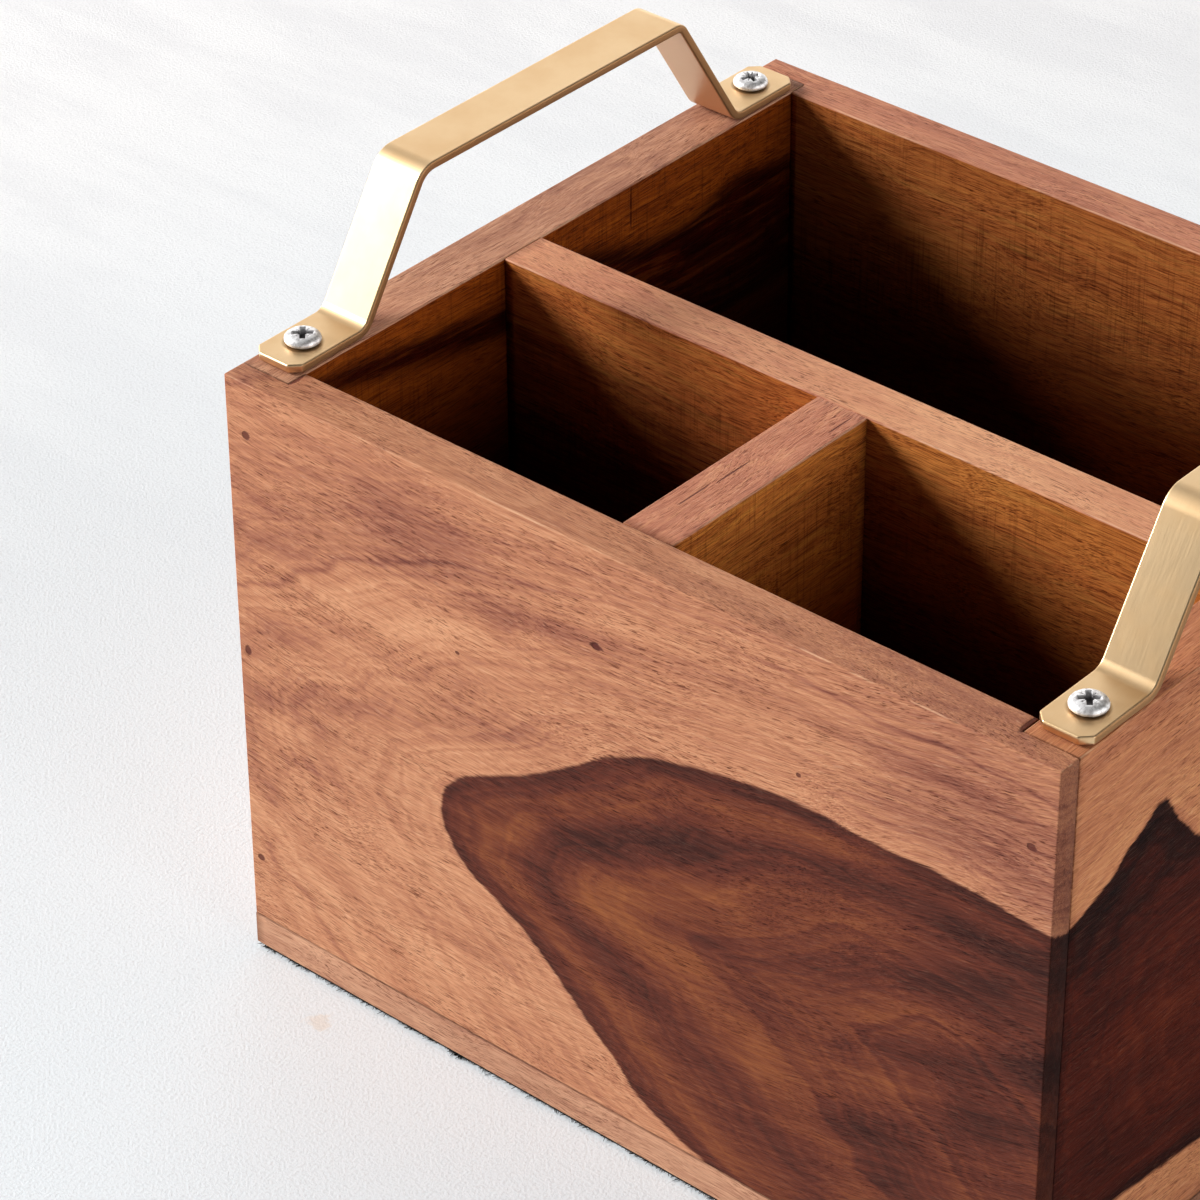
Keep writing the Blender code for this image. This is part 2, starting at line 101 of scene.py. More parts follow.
class Finish:
    """A material in the making: its node tree, with one method that adds any node."""

    def __init__(self, name):
        self.material = bpy.data.materials.new(name)
        self.material.use_nodes = True
        self.tree = self.material.node_tree
        self.shader = self.tree.nodes["Principled BSDF"]

    def node(self, kind, settings=None, sockets=None, output=0):
        added = self.tree.nodes.new(kind)
        for key, value in (settings or {}).items():
            if key == "stops":
                self.set_stops(added.color_ramp, value)
            else:
                setattr(added, key, value)
        for key, value in (sockets or {}).items():
            self.feed(added.inputs[key], value)
        return Wire(self, added.outputs[output])

    def set_stops(self, ramp, stops):
        for position, colour in stops[1:-1]:
            ramp.elements.new(position)
        for element, (position, colour) in zip(ramp.elements, stops):
            element.position = position
            element.color = colour

    def feed(self, socket, value):
        if isinstance(value, Wire):
            self.tree.links.new(value.socket, socket)
        else:
            socket.default_value = value

    def surface(self, **values):
        for key, value in values.items():
            self.feed(self.shader.inputs[key.replace("_", " ").title()], value)

    def place(self):
        """Where a point lies, in metres."""
        return self.node("ShaderNodeTexCoord", output="Object")

    def level(self, vector, axis):
        """How far a vector reaches along X, Y or Z."""
        return self.node("ShaderNodeSeparateXYZ", {}, {0: vector}, output=axis)

    def mark(self, name):
        """The value that the mesh's attribute of that name has here."""
        return self.node("ShaderNodeAttribute", {"attribute_name": name}, output="Fac")

    def vector(self, operation, *terms):
        """Vector maths. A length, a distance or a dot product comes out as one number."""
        output = "Value" if operation in ("LENGTH", "DISTANCE", "DOT_PRODUCT") else "Vector"
        sockets = dict(enumerate(terms))
        return self.node("ShaderNodeVectorMath", {"operation": operation}, sockets, output)

    def noise(self, place, scale, detail=2, roughness=0.5, distortion=0):
        sockets = {
            "Vector": place,
            "Scale": scale,
            "Detail": detail,
            "Roughness": roughness,
            "Distortion": distortion,
        }
        return self.node("ShaderNodeTexNoise", {}, sockets)

    def drawn_noise(self, place, cells, **kind):
        """Noise that is drawn out, with so many cells to a unit along X, Y and Z."""
        return self.noise(self.vector("MULTIPLY", place, cells), 1, **kind)

    def rise(self, value, low, high, bottom=0, top=1):
        """A value that climbs from bottom to top as its input goes from low to high."""
        sockets = {"Value": value, "From Min": low, "From Max": high}
        sockets.update({"To Min": bottom, "To Max": top})
        return self.node("ShaderNodeMapRange", {"interpolation_type": "SMOOTHSTEP"}, sockets)

    def ramp(self, value, stops):
        return self.node("ShaderNodeValToRGB", {"stops": stops}, {"Fac": value})

    def mix(self, share, first, second, blend="MIX"):
        settings = {"data_type": "RGBA", "blend_type": blend}
        return self.node("ShaderNodeMix", settings, {0: share, 6: first, 7: second}, output=2)

    def bump(self, height, strength, distance):
        sockets = {"Height": height, "Strength": strength, "Distance": distance}
        return self.node("ShaderNodeBump", {}, sockets)


# Painted shade on the faces inside the bays: a tint at the rim, and a darker one deep down.
BAY_SHADE = (paint(236, 205, 138), paint(116, 80, 36))


def oiled_wood(
    name,
    grain,
    seed,
    sap,
    heart,
    sweep=(0, 0),
    spots=(),
    bay=BAY_SHADE,
    feathers=0.5,
    joints=(),
):
    """Oiled hardwood with its grain along X or Y. The board's attributes say how far a point lies
    inside the heartwood, which growth ring it is on, how the figure darkens it, how far down
    inside a bay it is for the painted shade there, and whether it is on a sanded arris or on end
    grain. Seed moves the whole pattern. Sweep is the slope of the fibres at the middle, and its
    change per metre. Spots are the places and the half sizes of filled holes and cracks. Bay is the
    painted shade of its faces inside the bays, a tint at the rim and a darker one deep down.
    Feathers is how many millimetres the edge of the heartwood spreads over. Joints are the planes
    of its glued joints, along the grain (X), across it (Y) or up (Z)."""
    wood = Finish(name)
    place = wood.place()

    # From here on all is in millimetres, with the grain along X.
    turn = math.radians(-90) if grain == "Y" else 0
    sockets = {"Vector": place, "Rotation": (0, 0, turn), "Scale": (1000, 1000, 1000)}
    at = wood.node("ShaderNodeMapping", {"vector_type": "POINT"}, sockets)
    length = wood.level(at, "X")
    slope, bend = sweep
    swept = length * -slope - length * length * (bend / 2000)
    sockets = {"X": seed[0], "Y": seed[1], "Z": swept + seed[2]}
    swept_at = wood.vector("ADD", at, wood.node("ShaderNodeCombineXYZ", {}, sockets))

    # The fibres drift a few degrees off the board's length and back.
    drift = wood.drawn_noise(swept_at, (0.009, 0.018, 0.018), detail=1) - 0.5
    ripple = wood.drawn_noise(swept_at, (0.04, 0.08, 0.08), detail=1) - 0.5
    aside = drift * 14 + ripple * 3
    sockets = {"Y": aside, "Z": aside}
    along = wood.vector("ADD", swept_at, wood.node("ShaderNodeCombineXYZ", {}, sockets))

    # The grain, from the finest pores to the broadest patches of colour.
    fine = wood.drawn_noise(along, (0.12, 6.5, 6.5), detail=1)
    stroke = wood.drawn_noise(along, (0.26, 3.6, 3.6), roughness=0.6)
    thread = wood.drawn_noise(along, (0.02, 1.7, 1.7), detail=3, roughness=0.6)
    streak = wood.drawn_noise(along, (0.022, 0.62, 0.62), detail=4, roughness=0.65)
    band = wood.drawn_noise(along, (0.012, 0.16, 0.16), detail=3, roughness=0.6)
    pore_zone = wood.drawn_noise(along, (0.03, 0.12, 0.12))
    patch = wood.drawn_noise(swept_at, (0.016, 0.035, 0.035), detail=3)

    # Growth rings follow the heartwood's edge in wavering lines.
    waver = wood.drawn_noise(along, (0.03, 0.09, 0.09), detail=3) - 0.5
    feather = (streak - 0.5) * 2.6 + (stroke - 0.5) * 1.3
    ring_at = wood.mark("ring") + waver * 6 + feather * 0.5
    settings = {"noise_dimensions": "1D"}
    sockets = {"W": ring_at * 0.16, "Scale": 1, "Detail": 2, "Roughness": 0.55}
    ring_line = wood.node("ShaderNodeTexNoise", settings, sockets)
    sockets = {"W": ring_at * 0.9 + 40, "Scale": 1, "Detail": 2, "Roughness": 0.6}
    fine_ring = wood.node("ShaderNodeTexNoise", settings, sockets) - 0.5

    # Sapwood: tan to pinkish brown, with darker lines where the figure and the rings say so.
    figure = wood.mark("figure")
    sap_tone = figure + (band - 0.5) * 0.85 + (streak - 0.5) * 0.65 + (patch - 0.5) * 0.4
    sap_tone = sap_tone + (ring_line - 0.5) * 1.1 + (thread - 0.5) * 1.1 + fine_ring * 0.8
    sapwood = wood.ramp(sap_tone * 0.5 + 0.5, sap)

    # Heartwood: red brown, crossed by dark and by orange bands, with a dark rim at its edge.
    heart_tone = figure * 0.62 + (band - 0.5) * 0.6 + (streak - 0.5) * 0.7 + (ring_line - 0.5) * 0.8
    heart_tone = heart_tone + (thread - 0.5) * 0.8 + fine_ring * 0.6
    edge = wood.mark("heart") + waver * 2.5 + feather * 0.55
    rim = wood.rise(edge, 6, 0) * 0.4
    heartwood = wood.ramp((heart_tone + rim) * 0.5 + 0.5, heart)
    in_heart = wood.rise(edge, -feathers, feathers)
    colour = wood.mix(in_heart, sapwood, heartwood)

    # Pores: short dark strokes, and light ones where the cut fibres catch the light.
    dark_pores = wood.rise(stroke, 0.53, 0.7) * wood.rise(pore_zone, 0.35, 0.6, 0.4, 1)
    colour = wood.mix(dark_pores * 0.7, colour, paint(112, 62, 50), "MULTIPLY")
    light_pores = wood.rise(stroke, 0.44, 0.26) * (1.3 - in_heart)
    colour = wood.mix(light_pores * 0.14, colour, paint(236, 192, 156), "SCREEN")
    colour = wood.mix(wood.rise(fine, 0.48, 0.72) * 0.4, colour, paint(156, 104, 84), "MULTIPLY")
    tick = wood.drawn_noise(along, (0.36, 3.9, 3.9), detail=1)
    ticks = wood.rise(tick, 0.64, 0.7) * wood.rise(pore_zone, 0.42, 0.62)
    colour = wood.mix(ticks * 0.75, colour, paint(112, 60, 46), "MULTIPLY")

    # Filled holes and cracks are dark, ragged and a little sunk, as the pores are.
    dents = (0.5 - stroke) + (0.5 - fine) * 0.4
    for spot, half_sizes in spots:
        off = wood.vector("SUBTRACT", place, spot)
        reach = wood.vector("LENGTH", wood.vector("DIVIDE", off, half_sizes))
        reach = reach + (fine - 0.5) * 0.7 + (stroke - 0.5) * 0.6
        inside_spot = wood.rise(reach, 1.15, 0.85)
        colour = wood.mix(inside_spot * 0.85, colour, paint(92, 46, 40))
        dents = dents - inside_spot * 1.5

    # The sanded arrises get a painted highlight here and there. Dust and oil darken the joints'
    # edges.
    arris_highlight = wood.mark("arris") * wood.rise(streak, 0.46, 0.6)
    colour = wood.mix(arris_highlight * 0.45, colour, paint(224, 178, 140), "SCREEN")
    for axis, level in joints:
        off = abs(wood.level(at, axis) - level)
        seam = wood.rise(off, 0.5, 0.15) * wood.rise(streak, 0.3, 0.55, 0.2, 1)
        colour = wood.mix(seam * 0.6, colour, paint(110, 72, 60), "MULTIPLY")

    # End grain drinks the most oil, above all in the heartwood.
    thirst = wood.mark("end") * (in_heart * 0.25 + 0.5)
    colour = wood.mix(thirst, colour, paint(120, 92, 80), "MULTIPLY")

    # Inside the bays the raw faces show saw marks, and painted shade darkens them, more so towards
    # the bottom.
    inside = wood.mark("inside")
    in_bay = wood.rise(inside, 0, 0.5)
    raised = in_bay * wood.rise(fine + thread * 0.5, 0.7, 0.95)
    colour = wood.mix(raised * 0.6, colour, paint(120, 78, 54), "MULTIPLY")
    gold = in_bay * wood.rise(streak, 0.48, 0.68)
    colour = wood.mix(gold * 0.35, colour, paint(206, 160, 114), "SCREEN")
    sawn = wood.drawn_noise(at, (1.3, 1.3, 0.05), detail=3, roughness=0.7)
    sawn = in_bay * wood.rise(sawn, 0.48, 0.7) * wood.rise(patch, 0.4, 0.6)
    colour = wood.mix(sawn * 0.5, colour, paint(150, 128, 116), "MULTIPLY")
    # Painted shade: every face inside a bay takes the first tint, and more of the second towards
    # the bottom.
    colour = wood.mix(in_bay, colour, bay[0], "MULTIPLY")
    colour = wood.mix(wood.rise(inside, 0.45, 1), colour, bay[1], "MULTIPLY")

    wood.surface(
        base_color=colour,
        roughness=wood.rise(streak, 0.2, 0.8, 0.4, 0.56),
        normal=wood.bump(dents, 0.8, 0.00018),
    )
    wood.feed(wood.shader.inputs["Specular IOR Level"], 0.05)
    return wood.material


def plank(low, high):
    """A plain plank between two corners, as a bmesh."""
    low = Vector(low)
    high = Vector(high)
    bm = bmesh.new()
    bmesh.ops.create_cube(bm, size=1)
    bmesh.ops.scale(bm, vec=high - low, verts=bm.verts)
    bmesh.ops.translate(bm, vec=(low + high) / 2, verts=bm.verts)
    return bm


def ease(bm, edges, radius):
    """Sand edges round."""
    bmesh.ops.bevel(
        bm,
        geom=edges,
        offset=radius,
        segments=3,
        profile=0.5,
        affect="EDGES",
        material=-1,
        clamp_overlap=True,
    )


def edges_on(bm, *planes):
    """The edges that lie on every one of the planes, each given by its axis and its level."""
    return [
        edge
        for edge in bm.edges
        if all(abs(vert.co[axis] - level) < NEAR for vert in edge.verts for axis, level in planes)
    ]


def cut(bm, place, direction):
    """Cut the faces along a plane, and leave them joined."""
    geom = bm.verts[:] + bm.edges[:] + bm.faces[:]
    bmesh.ops.bisect_plane(bm, geom=geom, dist=1e-6, plane_co=place, plane_no=direction)


def rule(bm, spacing):
    """Divide a board's faces into cells of about the spacing, to carry the figure's values."""
    low = [min(vert.co[axis] for vert in bm.verts) for axis in range(3)]
    high = [max(vert.co[axis] for vert in bm.verts) for axis in range(3)]
    for axis in range(3):
        count = round((high[axis] - low[axis]) / spacing)
        direction = Vector((axis == 0, axis == 1, axis == 2))
        for step in range(1, count):
            level = low[axis] + (high[axis] - low[axis]) * step / count
            cut(bm, direction * level, direction)


def made(name, bm, material=None):
    """The bmesh as an object in the scene, with its material."""
    mesh = bpy.data.meshes.new(name)
    bm.to_mesh(mesh)
    bm.free()
    if material:
        mesh.materials.append(material)
    item = bpy.data.objects.new(name, mesh)
    bpy.context.scene.collection.objects.link(item)
    return item


def softened(outline):
    """A closed outline with its corners cut off three times."""
    points = np.array(outline, float)
    for _ in range(3):
        following = np.roll(points, -1, axis=0)
        near, far = points * 0.75 + following * 0.25, points * 0.25 + following * 0.75
        points = np.stack([near, far], axis=1).reshape(-1, 2)
    return points


def distance_to(places, line):
    """How far each place lies from a line of joined points."""
    nearest = np.full(len(places), np.inf)
    for start, end in zip(line[:-1], line[1:]):
        run = end - start
        offset = places - start
        share = np.clip(offset @ run / (run @ run), 0, 1)
        nearest = np.minimum(nearest, np.hypot(*(offset - share[:, None] * run).T))
    return nearest


def depth_inside(places, outline):
    """How deep each place lies inside a closed outline, and below zero outside it."""
    closed = np.vstack([outline, outline[:1]])
    inside = np.zeros(len(places), bool)
    for start, end in zip(closed[:-1], closed[1:]):
        run = end - start
        if run[1]:
            crosses = (start[1] > places[:, 1]) != (end[1] > places[:, 1])
            meets = start[0] + run[0] * (places[:, 1] - start[1]) / run[1]
            inside ^= crosses & (places[:, 0] < meets)
    nearest = distance_to(places, closed)
    return np.where(inside, nearest, -nearest)


def finish_board(name, bm, material, figure, inner=()):
    """Make the board that stands for its CAD node, with the wood's figure marked all over it.

    A figure has its outlines and strokes in millimetres along the board and up, on the face that
    the photo shows. A stroke is its strength, its width and its line. Lean is how far it all moves
    along and up for each millimetre into the board, and top is a tone of painted light on the
    upper face. Inner is the axis and the level of each face inside a bay, where the board gets
    painted shade."""
    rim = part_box(name)[1].z
    if inner:
        cut(bm, (0, 0, rim - ARRIS - 10 * NEAR), (0, 0, 1))
    rule(bm, CELL)
    bmesh.ops.recalc_face_normals(bm, faces=bm.faces)
    board = made(name + "_finished", bm, material)
    mesh = board.data
    mesh.shade_smooth()

    # From here on all is in millimetres.
    places = np.array([vert.co for vert in mesh.vertices]) * 1000
    below = rim * 1000 - places[:, 2]
    arris = ARRIS * 1000
    lengthways = figure["lengthways"]
    into = places[:, 1 - lengthways] - figure["face"]
    along_lean, up_lean = figure["lean"]
    flat = [places[:, lengthways] + into * along_lean, places[:, 2] + into * up_lean]
    flat = np.stack(flat, axis=1)

    # Rings lie flat where no heartwood is near, and else follow its outline, drawn out lengthways.
    depth = np.full(len(places), FAR_OUTSIDE)
    ring = RING_START - flat[:, 1] * RING_RISE
    for outline in figure.get("hearts", ()):
        edge = softened(outline)
        depth = np.maximum(depth, depth_inside(flat, edge))
        ring = np.maximum(ring, depth_inside(flat * RING_SQUEEZE, edge * RING_SQUEEZE))
    # The top tone is painted light on the upper face; some strokes are painted shade.
    tone = figure.get("top", 0) * (below < HAIR)
    for strength, width, line in figure.get("strokes", ()):
        near = distance_to(flat, np.array(line, float))
        tone = tone + strength * np.exp(-((near / width) ** 2))

    # A face inside a bay gets painted shade, which grows between two depths under the rim.
    shade = np.zeros(len(places))
    for axis, level in inner:
        on_face = np.abs(places[:, axis] - level * 1000) < 2 * HAIR
        down = 0.5 + 0.5 * np.clip((below - SHADE_STARTS) / (SHADE_ENDS - SHADE_STARTS), 0, 1)
        shade = np.where(on_face & (below > arris + HAIR), down, shade)
    reach = np.abs(places[:, lengthways])
    marks = {
        "heart": depth,
        "ring": ring,
        "figure": tone,
        "inside": shade,
        "arris": (below > HAIR) & (below < arris - HAIR),
        "end": reach > reach.max() - 2 * HAIR,
    }
    for key, values in marks.items():
        mark = mesh.attributes.new(key, "FLOAT", "POINT")
        mark.data.foreach_set("value", values.astype(np.float32))
    board.modifiers.new("flat_faces", "WEIGHTED_NORMAL").keep_sharp = True
    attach(board, "root")
    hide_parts(name)


# Sizes in metres. Near is what counts as the same level.
NEAR = 0.00001
CELL = 0.0025
GLUE_GAP = 0.0003
ARRIS = 0.00035
JOINT_ARRIS = 0.00012

# Sizes of the marks in millimetres. Hair is what counts as the same level for them.
HAIR = 0.025
FAR_OUTSIDE = -40.0
RING_START = -30
RING_RISE = 0.35
RING_SQUEEZE = np.array([0.34, 1])
SHADE_STARTS = 6
SHADE_ENDS = 58

# Finishes of the wood, from its palest to its darkest tone.
TAN_SAP = [
    (0.0, paint(231, 171, 130)),
    (0.3, paint(216, 152, 116)),
    (0.5, paint(200, 133, 105)),
    (0.7, paint(178, 114, 91)),
    (0.85, paint(152, 92, 77)),
    (1.0, paint(122, 69, 61)),
]
GREY_SAP = [
    (0.0, paint(222, 176, 143)),
    (0.3, paint(207, 157, 126)),
    (0.5, paint(190, 139, 111)),
    (0.7, paint(168, 118, 96)),
    (0.85, paint(143, 95, 80)),
    (1.0, paint(115, 73, 64)),
]
PINK_SAP = [
    (0.0, paint(227, 172, 133)),
    (0.3, paint(211, 152, 115)),
    (0.5, paint(193, 132, 99)),
    (0.7, paint(167, 108, 85)),
    (0.85, paint(140, 85, 69)),
    (1.0, paint(110, 63, 55)),
]
RED_HEART = [
    (0.0, paint(166, 106, 63)),
    (0.22, paint(146, 85, 51)),
    (0.42, paint(124, 67, 45)),
    (0.6, paint(101, 51, 39)),
    (0.78, paint(74, 39, 32)),
    (1.0, paint(48, 28, 26)),
]


def wall_board(name, outer, material, figure):
    """A board with a rabbet at each end, in which an end board sits. Outer is the level of its
    outer face."""
    low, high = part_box(name)
    left_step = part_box("left_end_panel")[1].x + GLUE_GAP
    right_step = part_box("right_end_panel")[0].x - GLUE_GAP
    inner = high.y if outer == low.y else low.y
    end_edge = min(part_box("left_end_panel"), key=lambda corner: abs(corner.y - outer)).y
    shoulder = end_edge + math.copysign(GLUE_GAP, outer - inner)
    bm = plank((left_step, low.y, low.z), (right_step, high.y, high.z))
    cut(bm, (0, shoulder, 0), (0, 1, 0))
    for step, end in ((left_step, low.x), (right_step, high.x)):
        ends = [face for face in bm.faces if abs(face.calc_center_median().x - step) < NEAR]
        lip = min(ends, key=lambda face: abs(face.calc_center_median().y - outer))
        tip = bmesh.ops.extrude_discrete_faces(bm, faces=[lip])["faces"][0]
        bmesh.ops.translate(bm, vec=(end - step, 0, 0), verts=tip.verts)
    tops = edges_on(bm, (1, outer), (2, high.z)) + edges_on(bm, (1, inner), (2, high.z))
    tops += edges_on(bm, (0, low.x), (2, high.z)) + edges_on(bm, (0, high.x), (2, high.z))
    corners = edges_on(bm, (0, low.x), (1, outer)) + edges_on(bm, (0, high.x), (1, outer))
    ease(bm, tops + corners, ARRIS)
    feet = edges_on(bm, (1, outer), (2, low.z)) + edges_on(bm, (0, low.x), (2, low.z))
    feet += edges_on(bm, (0, high.x), (2, low.z))
    ease(bm, feet, JOINT_ARRIS)
    finish_board(name, bm, material, figure, [(1, inner)])


FRONT_FIGURE = {
    "lengthways": 0,
    "face": cad_low.y * 1000,
    "lean": (0.5, 0.3),
    "hearts": [[
        (-49.7, 64.2), (-49.0, 71), (-43.6, 78.2), (-33, 83.5), (-22.2, 88.4), (-10.7, 97.0),
        (-4.8, 101.8), (17.7, 110.3), (44.3, 114.8), (70.9, 114.0), (85.3, 115.4), (107.5, 112.3),
        (160, 108), (240, 60), (240, -90), (90, -60), (33.9, 5.0), (27.1, 8.9), (7.9, 15.0),
        (-3.7, 25.9), (-16.9, 38.2), (-28.3, 47.7), (-38.9, 51.7), (-45.5, 57.5),
    ]],
    "strokes": [
        (0.55, 5, [(-17, 78), (5, 86), (25, 93), (46, 102), (59, 103), (79, 106), (112, 103)]),
        (0.5, 5, [(-17, 70), (-4, 77), (12, 84), (25, 88)]),
        (-0.5, 3, [(-35, 66), (-13, 84), (7, 95)]),
        (-0.35, 3, [(27, 100), (46, 106), (63, 110), (79, 111), (106, 112)]),
        (-0.42, 7, [(-10, 64), (12, 76), (30, 80)]),
        (-0.38, 4, [(-8, 62), (3, 62), (12, 62), (21, 60)]),
        (0.5, 2.6, [(12, 68), (26, 71), (43, 75), (64, 81), (96, 95)]),
        (-0.4, 3.5, [(-38, 62), (-22, 54), (-12, 46), (-1, 38), (12, 27), (30, 13)]),
        (0.5, 5.5, [(-21, 62), (-11, 54), (0, 50), (12, 43), (24, 38), (39, 29), (57, 15)]),
        (-0.35, 5, [(3, 58), (18, 57), (30, 51), (43, 40), (61, 30), (75, 10)]),
        (0.25, 5, [(25, 68), (39, 60), (47, 47), (65, 39), (74, 28)]),
        (0.45, 4, [(60, 62), (81, 68), (112, 80)]),
        (0.35, 6, [(56, 39), (81, 53), (105, 63)]),
        (-0.35, 5, [(39, 48), (56, 47), (81, 58)]),
        (0.15, 8, [(57, 29), (69, 34)]),
        (0.35, 13, [(84, 92), (112, 82)]),
        (0.17, 6, [(-106, 118), (-92, 126), (-78, 130), (-52, 136), (-19, 141), (10, 148)]),
        (0.25, 10, [(-60, 133), (-48, 134), (-40, 130)]),
        (0.08, 12, [(-106, 131), (-88, 134), (-66, 136)]),
        (0.14, 3, [(-107, 108), (-96, 113), (-80, 120), (-66, 124), (-54, 127)]),
        (0.2, 2, [(-105, 54), (-104, 66), (-98, 72), (-88, 74), (-84, 70)]),
        (0.22, 2, [(-100, 20), (-101, 40), (-98, 54), (-90, 60), (-80, 62)]),
        (0.06, 3, [(-43, 114), (-34, 119), (-25, 126), (-15, 130), (-3, 132), (6, 135)]),
        (0.08, 3, [(-18, 127), (-7, 128), (1, 129)]),
        (-0.45, 5, [(-75, 106), (-52, 113), (-38, 118)]),
        (0.25, 3, [(-108, 64), (-106, 69), (-99, 74), (-83, 80), (-60, 86), (-38, 92), (-10, 103)]),
        (0.18, 4, [(-107, 114), (-96, 115), (-85, 116)]),
        (0.45, 24, [(84, 133), (107, 118)]),
        (0.35, 16, [(72, 32), (90, 58), (107, 76)]),
        (-0.25, 25, [(-85, 30), (-60, 20)]),
    ],
}

# Filled brad holes, the filler at the two rabbets and two specks in the face.
FRONT_SPOTS = [
    ((-0.1019, -0.09075, 0.1383), (0.0011, 0.001, 0.0009)),
    ((-0.1049, -0.09075, 0.0823), (0.0009, 0.001, 0.0012)),
    ((-0.1046, -0.09075, 0.0263), (0.0010, 0.001, 0.0008)),
    ((0.1019, -0.09075, 0.1313), (0.0011, 0.001, 0.0008)),
    ((-0.0054, -0.09075, 0.1283), (0.0010, 0.001, 0.0009)),
    ((-0.0054, -0.09075, 0.1283), (0.0016, 0.001, 0.0007)),
    ((0.0942, -0.0824, 0.1513), (0.0009, 0.0030, 0.001)),
    ((-0.0942, -0.0830, 0.1513), (0.0007, 0.0022, 0.001)),
    ((-0.0432, -0.09075, 0.1096), (0.0006, 0.001, 0.0004)),
    ((0.0464, -0.09075, 0.1214), (0.0006, 0.001, 0.0005)),
]
FOOT_SEAM = ("Z", (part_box("bottom_board")[1].z + GLUE_GAP / 2) * 1000)
FRONT_SEAM = ("X", (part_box("left_end_panel")[0].y - GLUE_GAP / 2) * 1000)
BACK_SEAM = ("X", (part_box("left_end_panel")[1].y + GLUE_GAP / 2) * 1000)
front_wood = oiled_wood(
    "front_wood",
    "X",
    (11, 3, 7),
    PINK_SAP,
    RED_HEART,
    sweep=(0.07, 1.8),
    spots=FRONT_SPOTS,
    joints=[FOOT_SEAM],
)
wall_board("front_panel", cad_low.y, front_wood, FRONT_FIGURE)
BACK_FIGURE = {
    "lengthways": 0,
    "face": 80,
    "lean": (0.5, 0.3),
    "hearts": [[
        (-64, 14), (-40, 20), (-12, 22), (14, 27), (34, 32), (50, 40), (80, 62), (140, 75),
        (160, -40), (-60, -40),
    ]],
    "strokes": [
        (0.35, 5, [(-70, 26), (-30, 34), (16, 40), (44, 54), (70, 76), (104, 88)]),
        (0.5, 4, [(20, 12), (50, 24), (76, 44), (110, 56)]),
        (-0.35, 5, [(-20, 14), (30, 20), (64, 40), (90, 54)]),
    ],
}
back_wood = oiled_wood(
    "back_wood", "X", (-170, 60, 140), TAN_SAP, RED_HEART, feathers=2, joints=[FOOT_SEAM]
)
wall_board("back_panel", cad_high.y, back_wood, BACK_FIGURE)


# End boards: the same hardwood, let into the rabbets of the front and back boards. Dark heartwood
# fills most of the right one, and runs as a dark band through the left one.
def plain_board(name, material, figure, eased, inner):
    """A board with square ends. Eased are the pairs of sides that meet in a sanded edge, and
    inner are its sides inside the bays."""
    low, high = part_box(name)
    bm = plank(low, high)
    levels = {"low": low, "high": high}
    for pair in eased:
        ease(bm, edges_on(bm, *[(axis, levels[side][axis]) for axis, side in pair]), ARRIS)
    faces = [(axis, levels[side][axis]) for axis, side in inner]
    finish_board(name, bm, material, figure, faces)


ALONG_TOP_X = [((0, "low"), (2, "high")), ((0, "high"), (2, "high"))]
ALONG_TOP_Y = [((1, "low"), (2, "high")), ((1, "high"), (2, "high"))]
RIGHT_FIGURE = {
    "lengthways": 1,
    "face": cad_high.x * 1000,
    "lean": (0.4, 0.3),
    "hearts": [[
        (-100, 108), (-83.8, 111.2), (-77.9, 113.9), (-70.9, 115.9), (-67.2, 119.8), (-61.2, 122.4),
        (-56.2, 126.5), (-52.9, 123.4), (-50.8, 117.9), (-46.5, 113.2), (-41.9, 108.2), (-28, 104),
        (-8, 112), (14, 118), (38, 109), (66, 112), (100, 104), (120, 60), (100, 22), (50, 26),
        (0, 22), (-32.6, 25.5), (-48.4, 27.4), (-59.6, 28.9), (-100, 33),
    ]],
    "strokes": [
        (0.4, 5, [(-90, 103), (-72, 108), (-57, 118), (-47, 106)]),
        (0.75, 2.2, [(-56, 123), (-63, 118), (-67, 114), (-77, 107), (-81, 99)]),
        (0.6, 1.8, [(-52, 108), (-58, 105), (-66, 104), (-77, 92)]),
        (-1.1, 1.0, [(-64, 118), (-67, 116)]),
        (-0.35, 7, [(-41, 67), (-55, 71), (-71, 71)]),
        (-0.3, 5, [(-38, 48), (-63, 53)]),
        (-0.3, 12, [(-20, 80), (40, 78)]),
    ],
}
BLACK_HEART = [
    (0.0, paint(124, 58, 32)),
    (0.25, paint(98, 40, 22)),
    (0.42, paint(78, 27, 16)),
    (0.58, paint(60, 20, 13)),
    (0.74, paint(42, 14, 10)),
    (1.0, paint(18, 7, 6)),
]
END_JOINTS = [FOOT_SEAM, FRONT_SEAM, BACK_SEAM]
WARM_SAP = [
    (0.0, paint(220, 162, 112)),
    (0.3, paint(205, 143, 99)),
    (0.5, paint(190, 125, 88)),
    (0.7, paint(169, 106, 77)),
    (0.85, paint(144, 86, 62)),
    (1.0, paint(114, 64, 49)),
]
right_wood = oiled_wood(
    "right_end_wood", "Y", (40, -25, 90), WARM_SAP, BLACK_HEART, joints=END_JOINTS
)
plain_board("right_end_panel", right_wood, RIGHT_FIGURE, ALONG_TOP_X, [(0, "low")])
# Painted shade inside the bays for the left end board, darker than the other boards' tints.
LEFT_BAY_SHADE = (paint(190, 128, 50), paint(74, 36, 17))
UMBER_HEART = [
    (0.0, paint(146, 62, 30)),
    (0.3, paint(118, 42, 22)),
    (0.5, paint(88, 28, 17)),
    (0.75, paint(60, 20, 14)),
    (1.0, paint(38, 16, 12)),
]
